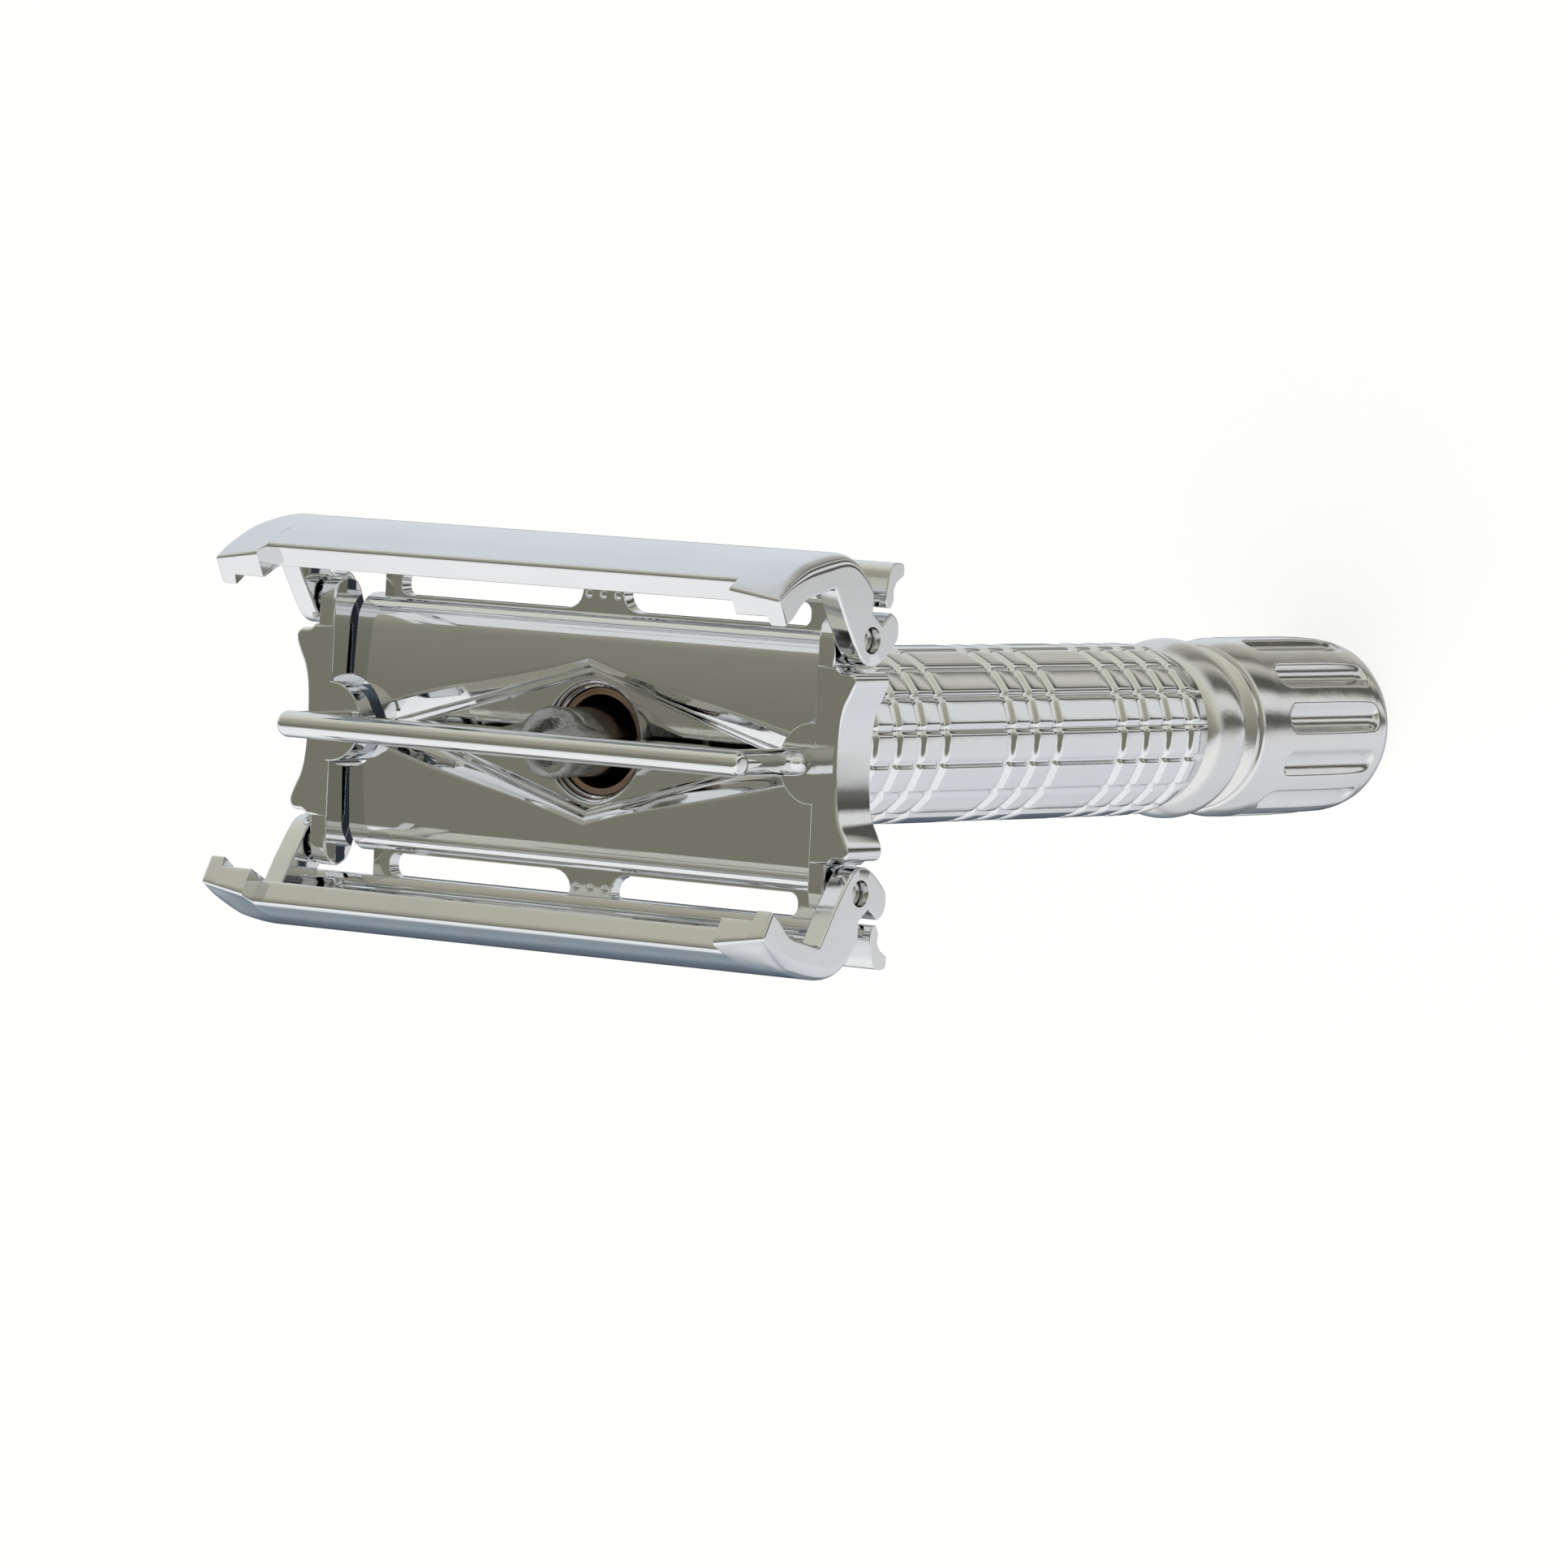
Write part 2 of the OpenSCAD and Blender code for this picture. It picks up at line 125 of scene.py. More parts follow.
M["pin"] = mat_metal("chrome_pins", (0.62, 0.62, 0.60), 0.16, 0.05, 0.08, 1500)
M["copper"] = mat_metal("copper_alloy", (0.66, 0.50, 0.42), 0.18, 0.06, 0.20, 1800, tint=(0.30, 0.19, 0.14), tint_amt=0.9)
M["brass"] = mat_metal("brass_plain", (0.76, 0.64, 0.36), 0.25, 0.06, 0.08, 1200, tint=(0.62, 0.48, 0.25))
M["dark"] = mat_metal("steel_dark", (0.46, 0.46, 0.44), 0.22, 0.10, 0.6, 1500, tint=(0.12, 0.12, 0.12), tint_amt=0.9)


# ------------------------------------------------------------------ mesh helpers
def cr_run(P, n):
    """Centripetal Catmull-Rom through a run of points, both ends kept."""
    P = [np.array(p, float) for p in P]
    if len(P) == 2:
        return [P[0]]
    Q = [2 * P[0] - P[1]] + P + [2 * P[-1] - P[-2]]
    out = []
    for i in range(1, len(Q) - 2):
        p0, p1, p2, p3 = Q[i - 1], Q[i], Q[i + 1], Q[i + 2]
        t0 = 0.0
        t1 = t0 + max(np.linalg.norm(p1 - p0), 1e-6) ** 0.5
        t2 = t1 + max(np.linalg.norm(p2 - p1), 1e-6) ** 0.5
        t3 = t2 + max(np.linalg.norm(p3 - p2), 1e-6) ** 0.5
        for k in range(n):
            t = t1 + (t2 - t1) * k / n
            a1 = (t1 - t) / (t1 - t0) * p0 + (t - t0) / (t1 - t0) * p1
            a2 = (t2 - t) / (t2 - t1) * p1 + (t - t1) / (t2 - t1) * p2
            a3 = (t3 - t) / (t3 - t2) * p2 + (t - t2) / (t3 - t2) * p3
            b1 = (t2 - t) / (t2 - t0) * a1 + (t - t0) / (t2 - t0) * a2
            b2 = (t3 - t) / (t3 - t1) * a2 + (t - t1) / (t3 - t1) * a3
            out.append((t2 - t) / (t2 - t1) * b1 + (t - t1) / (t2 - t1) * b2)
    return out


def smooth_outline(items, n=5):
    """Closed outline from (a, b[, 1]) points; a third value of 1 marks a sharp corner."""
    pts = [(p[0], p[1]) for p in items]
    corners = [i for i, p in enumerate(items) if len(p) > 2 and p[2]]
    out = []
    if not corners:
        P = pts + pts[:1]
        Q = [np.array(p, float) for p in pts]
        N = len(Q)
        for i in range(N):
            run = cr_run([Q[(i - 1) % N], Q[i], Q[(i + 1) % N], Q[(i + 2) % N]], n)
            out += run[n:2 * n]
        return out
    for a, b in zip(corners, corners[1:] + [corners[0] + len(pts)]):
        run = [pts[i % len(pts)] for i in range(a, b + 1)]
        out += cr_run(run, n)
    return out


def mesh_from(name, verts, faces):
    me = bpy.data.meshes.new(name)
    me.from_pydata([tuple(v) for v in verts], [], faces)
    me.update()
    return me


def add_object(name, me):
    o = bpy.data.objects.new(name, me)
    scene.collection.objects.link(o)
    return o


def fix_normals(o):
    bm = bmesh.new()
    bm.from_mesh(o.data)
    bmesh.ops.recalc_face_normals(bm, faces=bm.faces)
    bm.to_mesh(o.data)
    bm.free()


AX = {
    "x": lambda a, b, w: (w, a, b),     # outline (y, z) swept along x
    "y": lambda a, b, w: (a, w, b),     # outline (x, z) swept along y
    "z": lambda a, b, w: (a, b, w),     # outline (x, y) swept along z
}


def prism(name, pts, w0, w1, axis="x"):
    f = AX[axis]
    n = len(pts)
    v = [f(p[0], p[1], w0) for p in pts] + [f(p[0], p[1], w1) for p in pts]
    faces = [tuple(range(n))[::-1], tuple(range(n, 2 * n))]
    faces += [(i, (i + 1) % n, n + (i + 1) % n, n + i) for i in range(n)]
    o = add_object(name, mesh_from(name, v, faces))
    fix_normals(o)
    return o


def lathe(name, prof, axis="z", at=(0, 0, 0), n=96, rfun=None, close=True):
    """Solid of revolution from (r, w) points; a radius of 0 closes the end. rfun(r, theta, w) may change the radius."""
    v, rings = [], []
    for r, w in prof:
        if r < 1e-6:
            rings.append([len(v)])
            v.append((0, 0, w))
        else:
            idx = []
            for k in range(n):
                t = 2 * math.pi * k / n
                rr = rfun(r, t, w) if rfun else r
                idx.append(len(v))
                v.append((rr * math.cos(t), rr * math.sin(t), w))
            rings.append(idx)
    faces = []
    pairs = list(zip(rings, rings[1:]))
    if close and len(rings[0]) > 1 and len(rings[-1]) > 1:
        pairs.append((rings[-1], rings[0]))
    for A, B in pairs:
        if len(A) == 1 and len(B) == 1:
            continue
        for k in range(n):
            k2 = (k + 1) % n
            if len(A) == 1:
                faces.append((A[0], B[k2], B[k]))
            elif len(B) == 1:
                faces.append((A[k], A[k2], B[0]))
            else:
                faces.append((A[k], A[k2], B[k2], B[k]))
    v = np.array(v, float)
    if axis == "x":
        v = v[:, [2, 0, 1]]
    elif axis == "y":
        v = v[:, [1, 2, 0]]
    v = v + np.array(at, float)
    o = add_object(name, mesh_from(name, v, faces))
    fix_normals(o)
    return o


def boolean(o, cutter, op="DIFFERENCE", keep=False):
    md = o.modifiers.new("b", "BOOLEAN")
    md.operation = op
    md.solver = "EXACT"
    md.object = cutter
    dg = bpy.context.evaluated_depsgraph_get()
    me = bpy.data.meshes.new_from_object(o.evaluated_get(dg))
    o.modifiers.clear()
    old = o.data
    o.data = me
    bpy.data.meshes.remove(old)
    if not keep:
        bpy.data.objects.remove(cutter, do_unlink=True)
    return o


def tidy(o, dist=0.002, planar=True):
    bm = bmesh.new()
    bm.from_mesh(o.data)
    bmesh.ops.remove_doubles(bm, verts=bm.verts, dist=dist)
    bmesh.ops.dissolve_degenerate(bm, dist=dist, edges=bm.edges)
    if planar:
        bmesh.ops.dissolve_limit(bm, angle_limit=math.radians(0.4), verts=bm.verts, edges=bm.edges)
    bmesh.ops.recalc_face_normals(bm, faces=bm.faces)
    bm.to_mesh(o.data)
    bm.free()
    return o


def place(o, dz=0.0, mirror_x=False, mirror_y=False):
    """Bakes mm to metres, the lift to the bed's height and any mirror into the mesh."""
    S = Matrix.Diagonal((-1 if mirror_x else 1, -1 if mirror_y else 1, 1, 1))
    T = Matrix.Translation((0, 0, dz))
    o.data.transform(Matrix.Scale(MM, 4) @ T @ S)
    if mirror_x != mirror_y:
        o.data.flip_normals()
    return o


def copy_mirrored(o, name, mx=False, my=False):
    me = o.data.copy()
    me.transform(Matrix.Diagonal((-1 if mx else 1, -1 if my else 1, 1, 1)))
    if mx != my:
        me.flip_normals()
    return add_object(name, me)


def dress(o, mat, bevel=0.0, segs=3, angle=32, weighted=True):
    o.data.materials.clear()
    for mt in (mat if isinstance(mat, (list, tuple)) else [mat]):
        o.data.materials.append(mt)
    for p in o.data.polygons:
        p.use_smooth = True
    if bevel:
        b = o.modifiers.new("bevel", "BEVEL")
        b.width = bevel * MM
        b.segments = segs
        b.limit_method = "ANGLE"
        b.angle_limit = math.radians(angle)
        b.use_clamp_overlap = True
        b.miter_outer = "MITER_ARC"
        b.harden_normals = False
    if weighted:
        w = o.modifiers.new("wn", "WEIGHTED_NORMAL")
        w.weight = 50
        w.keep_sharp = False
        w.mode = "FACE_AREA"
    return o


def finish(o, body, slot_name, *nodes):
    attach(o, body)
    if nodes:
        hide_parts(*nodes)
    return o


# ------------------------------------------------------------------ doors
# section beside the recess, section of the tabs, section of each end; (outward, up) from the pivot
SEC_MID = [(3.42, 8.60, 1), (3.66, 8.10), (3.93, 7.5), (4.30, 6.7), (4.62, 5.6), (4.93, 4.2), (5.08, 3.1), (5.10, 2.4), (4.85, 1.6), (4.2, 0.8),
           (3.2, 0.05, 1), (2.5, 0.2, 1), (2.6, 0.8), (3.15, 1.4), (3.6, 2.1), (3.8, 2.9), (3.72, 3.9), (3.36, 5.1), (2.9, 6.35), (2.55, 7.1), (2.07, 7.90, 1)]
SEC_TAB = [(2.95, 9.55, 1), (3.33, 8.8), (3.72, 8.0), (4.30, 6.7), (4.62, 5.6), (4.93, 4.2), (5.08, 3.1), (5.10, 2.4), (4.85, 1.6), (4.2, 0.8),
           (3.2, 0.05, 1), (2.2, 0.2, 1), (2.15, 0.75), (2.6, 1.4), (2.95, 2.1), (3.1, 2.9), (3.0, 3.9), (2.72, 5.1), (2.35, 6.5), (2.0, 7.4), (1.35, 8.70, 1)]
SEC_END = [(2.40, 9.26, 1), (2.78, 8.70), (3.18, 8.0), (3.68, 6.7), (3.95, 5.6), (4.22, 4.2), (4.43, 3.1), (4.44, 2.4), (4.25, 1.7), (3.78, 0.95),
           (2.95, 0.05, 1), (2.2, 0.2, 1), (2.15, 0.75), (2.6, 1.4), (2.95, 2.1), (3.1, 2.9), (3.0, 3.9), (2.72, 5.1), (2.3, 6.6), (1.25, 7.75), (0.80, 8.40, 1)]
EAR = [(3.4, 4.2, 1), (4.05, 4.0), (4.25, 3.1), (4.26, 2.4), (4.05, 1.7), (3.5, 0.9), (2.8, -0.05, 1), (1.65, -0.02, 1),
       (0.96, -0.92, 1), (1.65, -1.84, 1), (1.3, -2.35), (0.8, -2.58), (0.15, -2.58), (-0.35, -2.25), (-1.2, -1.2), (-1.52, -0.5),
       (-1.52, 0.15), (-1.3, 0.7), (-0.88, 1.15), (1.0, 2.5, 1), (2.9, 3.65, 1)]


def resample(P, n):
    """n points evenly spaced along a run, without its last point."""
    P = np.array(P, float)
    L = np.concatenate([[0.0], np.cumsum(np.linalg.norm(np.diff(P, axis=0), axis=1))])
    t = np.linspace(0, L[-1], n + 1)[:-1]
    return [np.array([np.interp(a, L, P[:, 0]), np.interp(a, L, P[:, 1])]) for a in t]


def trim_run(P, r0, r1):
    P = np.array(P, float)
    L = np.concatenate([[0.0], np.cumsum(np.linalg.norm(np.diff(P, axis=0), axis=1))])
    keep = [a for a in L if r0 + 1e-4 < a < L[-1] - r1 - 1e-4]
    t = [r0] + keep + [L[-1] - r1]
    return [np.array([np.interp(a, L, P[:, 0]), np.interp(a, L, P[:, 1])]) for a in t]


def round_loop(items, counts, radii, k=5):
    """Closed outline whose marked corners are rounded; every outline gets the same number of points."""
    pts = [(q[0], q[1]) for q in items]
    cor = [i for i, q in enumerate(items) if len(q) > 2]
    out = []
    for j, (a, b) in enumerate(zip(cor, cor[1:] + [cor[0] + len(pts)])):
        run = [pts[i % len(pts)] for i in range(a, b + 1)]
        run = cr_run(run, 6) + [np.array(run[-1], float)]
        jn = (j + 1) % len(cor)
        run = trim_run(run, radii[j], radii[jn])
        out += resample(run, counts[j])
        e = run[-1]
        c = np.array(pts[b % len(pts)], float)
        nb = [pts[i % len(pts)] for i in range(cor[jn], (cor[(jn + 1) % len(cor)] if jn + 1 < len(cor) else cor[0] + len(pts)) + 1)]
        nr = trim_run(cr_run(nb, 6) + [np.array(nb[-1], float)], radii[jn], 0.01)[0]
        for q in range(k):
            t = q / k
            out.append((1 - t) ** 2 * e + 2 * t * (1 - t) * c + t * t * nr)
    return np.array(out)


def inset(P, d):
    nx, pv = np.roll(P, -1, 0), np.roll(P, 1, 0)
    t = nx - pv
    t /= np.linalg.norm(t, axis=1)[:, None]
    nrm = np.stack([-t[:, 1], t[:, 0]], 1)
    area = 0.5 * np.sum(P[:, 0] * nx[:, 1] - nx[:, 0] * P[:, 1])
    return P + nrm * d * (1 if area > 0 else -1)


def build_door():
    counts, radii = (44, 4, 40, 6), (0.36, 0.16, 0.16, 0.12)
    A = round_loop(SEC_MID, counts, radii)
    B = round_loop(SEC_TAB, counts, radii)
    E = round_loop(SEC_END, counts, (0.22, 0.16, 0.16, 0.12))
    n_out = counts[0]
    half = []
    for x in list(np.linspace(0, 17.2, 18)) + [17.6, 17.8, 17.9, 17.95]:
        half.append((x, A))
    for x in [18.03, 18.07, 18.2, 18.6, 19.2, 19.8, 20.1, 20.3, 20.34, 20.42, 20.5, 20.65, 20.8, 20.95, 21.1, 21.2, 21.28, 21.34, 21.4, 21.44, 21.475, 21.5]:
        t = max(0.0, (x - 20.2) / 1.3)
        side = 1 - math.sqrt(max(0.0, 1 - t * t))
        top = (x - 18.0) / 3.5
        lug = min(1.0, max(0.0, (x - 20.3) / 0.12))
        P = B.copy()
        for i in range(len(P)):
            up = min(1.0, max(0.0, (B[i][1] - 6.0) / 3.0))
            outer = i < n_out + 6 or i >= len(P) - 5
            w = side * (1 - up) + top * up if outer else lug
            P[i] = B[i] * (1 - w) + E[i] * w
        d = 0.0
        if x > 21.3:
            d = 0.16 * (1 - math.sqrt(max(0.0, 1 - ((x - 21.3) / 0.2) ** 2)))
        if 18.0 < x < 18.06:
            pass
        half.append((x, inset(P, d) if d else P))
    secs = [(-x, P) for x, P in half[::-1][:-1]] + half
    n = len(A)
    v, faces = [], []
    for x, P in secs:
        v += [(x, q[0], q[1]) for q in P]
    for i in range(len(secs) - 1):
        for k in range(n):
            k2 = (k + 1) % n
            faces.append((i * n + k, i * n + k2, (i + 1) * n + k2, (i + 1) * n + k))
    faces.append(tuple(range(n))[::-1])
    faces.append(tuple(range((len(secs) - 1) * n, len(secs) * n)))
    o = add_object("door", mesh_from("door", v, faces))
    fix_normals(o)
    ear = smooth_outline(EAR, 4)
    for s in (-1, 1):
        e = prism("ear", ear, *(sorted((s * 20.02, s * 21.49))))
        b = e.modifiers.new("bevel", "BEVEL")
        b.width = 0.15
        b.segments = 4
        b.limit_method = "ANGLE"
        b.angle_limit = math.radians(40)
        b.use_clamp_overlap = False
        dg = bpy.context.evaluated_depsgraph_get()
        me = bpy.data.meshes.new_from_object(e.evaluated_get(dg))
        e.modifiers.clear()
        e.data = me
        boolean(o, e, "UNION")
        hole = lathe("hole", [(0, 19.0), (0.80, 19.0), (0.80, 22.5), (0, 22.5)], axis="x", n=48)
        if s < 0:
            hole.data.transform(Matrix.Diagonal((-1, 1, 1, 1)))
            hole.data.flip_normals()
        boolean(o, hole)
    tidy(o, 0.001, planar=False)
    o.data.transform(Matrix.Translation((0, HY, HZ)))
    return o


door = build_door()
place(door, BED)
back = copy_mirrored(door, "door_back_shell", my=True)
door.name = "door_front_shell"
for o, sgn in ((door, 1), (back, -1)):
    dress(o, [M["door"], M["door_out"]])
    o.data.set_sharp_from_angle(angle=math.radians(42))
    for p in o.data.polygons:
        n, c = p.normal, p.center
        y = sgn * c.y * 1000 - HY
        z = c.z * 1000 - BED - HZ
        if sgn * n.y > 0.25 and abs(n.x) < 0.5 and y > 2.4 and z > 1.0:
            p.material_index = 1
for o in (door, back):
    o.modifiers["wn"].keep_sharp = True
finish(door, "door_front", "chrome_doors", "door_front")
finish(back, "door_back", "chrome_doors", "door_back")


# ------------------------------------------------------------------ blade bed
def sstep(a, b, x):
    t = min(1.0, max(0.0, (x - a) / (b - a)))
    return t * t * (3 - 2 * t)


BL, BW = 18.2, 7.9
ROLL = 1.7


def bed_profile(y):
    """Arch of the bed, and its roll-off toward the long edges."""
    a = abs(y)
    if a <= BW - ROLL:
        return -a * a / 160.0
    z0 = -(BW - ROLL) ** 2 / 160.0
    t = (a - (BW - ROLL)) / ROLL
    return z0 - 0.16 * t - ROLL * (1 - math.sqrt(max(0.0, 1 - min(t, 1.0) ** 2))) * 0.9


def flare_w(x):
    """Width of the soft flare outside the diamond, wider toward its tips."""
    return 0.42 + 0.66 * sstep(1.0, 14.0, abs(x))


def pocket_drop(d, x=0.0):
    """Depth below the bed against the distance outside (+) or inside (-) the diamond's edge."""
    W = flare_w(x)
    if d >= W:
        return 0.0
    H = 0.36 * W
    if d > 0:
        u = 1 - d / W
        return H * (u - 0.22 * math.sin(math.pi * u) / math.pi * u) if u > 0 else 0.0
    h = H
    h += 0.24 * sstep(0.0, -0.10, d)
    h += 0.08 * sstep(-0.10, -0.40, d)
    h += (0.9 - 0.32 - H) * sstep(-0.42, -0.55, d)
    return h


def build_bed():
    DX, DY = 16.2, 4.6
    nrm = 1 / math.sqrt(1 / DX ** 2 + 1 / DY ** 2)
    slope = DY / nrm          # y distance per unit of edge distance
    xs = list(np.linspace(-BL + 1.2, BL - 1.2, 190)) + list(np.linspace(BL - 1.2, BL, 14))[1:]
    xs = sorted(set([-x for x in xs if x > BL - 1.2 + 1e-9] + xs + [0.0]))
    off_out = [0.0, 0.05, 0.14, 0.25, 0.38, 0.50, 0.60, 0.68, 0.75]
    off_in = [-0.03, -0.07, -0.10, -0.16, -0.26, -0.36, -0.42, -0.46, -0.50, -0.55, -0.62]
    tail = 10
    inner = 6
    ROLLN = 12
    cols = []
    for x in xs:
        ye = max(0.0, DY * (1 - abs(x) / DX))
        half = [0.0]
        # inside the diamond
        lim = ye - 0.62 * slope
        sc = 1.0
        if lim < 0.02:
            sc = max(1e-4, ye / (0.62 * slope)) * 0.98
            lim = ye * 0.02
        half = list(np.linspace(0, max(lim, 0.0), inner, endpoint=False))
        half += [ye + o * slope * sc for o in sorted(off_in)]
        half += [ye + o * slope * flare_w(x) / 0.75 for o in off_out]
        y1 = half[-1]
        yt = BW - ROLL
        half += list(np.linspace(y1, yt, tail + 1))[1:]
        half += [yt + ROLL * math.sin(math.pi / 2 * k / ROLLN) for k in range(1, ROLLN + 1)]
        zs = []
        for y in half:
            d = (abs(x) / DX + y / DY - 1) * nrm
            if ye <= 0.0:
                d = max(d, 0.0)
            drop = pocket_drop(d, x)
            if abs(x) > DX:
                drop = 0.0
            elif sc < 1.0 and d < 0:
                drop = 0.36 * flare_w(x) + (pocket_drop(d / max(sc, 1e-3), x) - 0.36 * flare_w(x)) * sc
            z = bed_profile(y) - drop
            if d < -0.5 and sc >= 1.0:
                z = -0.9
            zs.append(z)
        cols.append(([-y for y in half[:0:-1]] + half, zs[:0:-1] + zs))
    v, faces = [], []
    ny = len(cols[0][0])
    for x, (ys, zz) in zip(xs, cols):
        for y, z in zip(ys, zz):
            v.append((x, y, z))
    nx = len(xs)
    for i in range(nx - 1):
        for j in range(ny - 1):
            a = i * ny + j
            faces.append((a, a + ny, a + ny + 1, a + 1))
    # underside
    base = len(v)
    for x in xs:
        v.append((x, -BW, -2.3)); v.append((x, -5.2, -2.7)); v.append((x, 5.2, -2.7)); v.append((x, BW, -2.3))
    for i in range(nx - 1):
        b0, b1 = base + 4 * i, base + 4 * (i + 1)
        for k in range(3):
            faces.append((b0 + k, b0 + k + 1, b1 + k + 1, b1 + k))
        faces.append((i * ny, b0, b1, (i + 1) * ny))
        faces.append((i * ny + ny - 1, (i + 1) * ny + ny - 1, b1 + 3, b0 + 3))
    for i in (0, nx - 1):
        ring = [i * ny + j for j in range(ny)] + [base + 4 * i + 3, base + 4 * i + 2, base + 4 * i + 1, base + 4 * i]
        faces.append(tuple(ring))
    o = add_object("bed", mesh_from("bed", v, faces))
    fix_normals(o)
    for s in (-1, 1):
        c = lathe("notch", [(0, -6), (2.85, -6), (2.85, 3), (0, 3)], n=72)
        c.data.transform(Matrix.Translation((s * 18.5, 0, 0)))
        boolean(o, c)
    # hole with a rolled mouth
    prof = [(0, -6), (3.3, -6), (3.3, -1.5), (3.42, -1.42)]
    prof += [(3.42 + 0.42 * (1 - math.cos(t)), -1.32 + 0.42 * math.sin(t)) for t in np.linspace(0.05, math.pi / 2, 7)]
    prof += [(3.9, -0.88), (3.9, 2), (0, 2)]
    prof = [(0, -6), (3.3, -6), (3.3, -1.5), (3.42, -1.40), (3.42, -1.30), (3.45, -1.15), (3.53, -1.02), (3.66, -0.93), (3.80, -0.895), (3.80, 0.5), (0, 0.5)]
    c = lathe("hole", prof, n=96)
    boolean(o, c)
    bm = bmesh.new()
    bm.from_mesh(o.data)
    bmesh.ops.remove_doubles(bm, verts=bm.verts, dist=0.001)
    bmesh.ops.recalc_face_normals(bm, faces=bm.faces)
    bm.to_mesh(o.data)
    bm.free()
    return o


bed = build_bed()
bed.name = "blade_bed"
place(bed, BED)
dress(bed, M["plate"], 0.0, weighted=False)
bed.data.set_sharp_from_angle(angle=math.radians(40))
finish(bed, "handle", "chrome_plate", "base_plate")

# guard bars
GO = 12.0
def arc(cx, cy, r, a0, a1, n):
    return [(cx + r * math.cos(math.radians(a0 + (a1 - a0) * i / n)), cy + r * math.sin(math.radians(a0 + (a1 - a0) * i / n))) for i in range(n + 1)]
GUARD = [(9.33, -1.32, 1), (9.38, -0.95, 1), (9.9, -0.78), (10.9, -0.92), (11.62, -1.12), (11.93, -1.42), (12.0, -1.75), (12.0, -2.15),
         (11.93, -2.38), (11.7, -2.5), (11.25, -2.5, 1), (11.08, -2.2), (10.8, -1.78), (10.35, -1.56), (9.85, -1.6)]
g = prism("guard_front", smooth_outline(GUARD, 5), -21.5, 21.5)
place(g, BED)
g2 = copy_mirrored(g, "guard_back", my=True)
for o in (g, g2):
    dress(o, M["plate"], 0.12, 3, 35)
    finish(o, "handle", "chrome_plate", "base_plate")

# bridges that carry the guard bars
def bridge_floor():
    pts = [(-17.0, 7.3), (17.0, 7.3), (17.0, 9.6), (-17.0, 9.6)]
    o = prism("bridge_front", pts, -2.2, -1.25, "z")
    for s in (-1, 1):
        x1, y0, y1, r = 15.7, 7.9, 9.32, 0.6
        q = arc(x1 - r, y1 - r, r, 0, 90, 6) + arc(1.55 + 0.3, y1 - 0.3, 0.3, 90, 180, 5)
        q += [(1.58, 8.85), (1.70, 8.5), (1.95, 8.2), (2.35, 7.98), (2.8, 7.9)]
        q += arc(x1 - r, y0 + r, r, 270, 360, 6)
        q = [(s * a, b) for a, b in q]
        boolean(o, prism("slot", q, -4, 1, "z"))
    for x in (-1.1, 0.0, 1.1):
        boolean(o, lathe("dimple", [(0, -1.35), (0.24, -1.35), (0.24, -1.0), (0, -1.0)], at=(x, 8.85, 0), n=20))
    return tidy(o)


br = bridge_floor()
place(br, BED)
br2 = copy_mirrored(br, "bridge_back", my=True)
for o in (br, br2):
    dress(o, M["plate"], 0.1, 3, 35)
    finish(o, "handle", "chrome_plate", "base_plate")

boss = lathe("plate_boss", [(3.3, -8), (4.28, -8), (4.28, -4.0), (4.9, -4.0), (5.1, -3.8), (5.1, -2.9), (5.35, -2.6), (3.3, -2.6)], n=96)
place(boss, BED)
dress(boss, M["plate"], 0.0, weighted=False)
boss.data.set_sharp_from_angle(angle=math.radians(35))
finish(boss, "handle", "chrome_plate", "base_plate")

# copper-coloured sleeve
sl = lathe("neck_sleeve_ring", [(2.75, -9), (3.29, -9), (3.29, -1.72), (3.22, -1.62), (3.05, -1.6), (2.85, -1.62), (2.75, -1.75)], n=96)
place(sl, BED)
dress(sl, M["copper"], weighted=False)
sl.data.set_sharp_from_angle(angle=math.radians(40))
finish(sl, "handle", "copper_alloy", "neck_sleeve")


# ------------------------------------------------------------------ end caps
PLAN = [(18.5, 5.9, 1), (20.0, 5.9, 1), (20.4, 5.62), (21.1, 5.55), (21.38, 5.3), (21.4, 4.8), (21.12, 4.1), (20.75, 3.4), (20.5, 2.6),
        (20.38, 1.7), (20.33, 0.8), (20.32, 0.0)]


def offset_loop(P, d):
    """Outline moved inward by d along its own normals."""
    nx, pv = np.roll(P, -1, 0), np.roll(P, 1, 0)
    a, b = P - pv, nx - P
    a /= np.linalg.norm(a, axis=1)[:, None] + 1e-12
    b /= np.linalg.norm(b, axis=1)[:, None] + 1e-12
    na, nb = np.stack([-a[:, 1], a[:, 0]], 1), np.stack([-b[:, 1], b[:, 0]], 1)
    m_ = na + nb
    m_ /= np.linalg.norm(m_, axis=1)[:, None] + 1e-12
    k = 1.0 / np.clip(np.sum(m_ * na, axis=1), 0.66, 1.0)
    area = np.sum(P[:, 0] * nx[:, 1] - nx[:, 0] * P[:, 1])
    return P + m_ * (k * d * (1 if area > 0 else -1))[:, None]


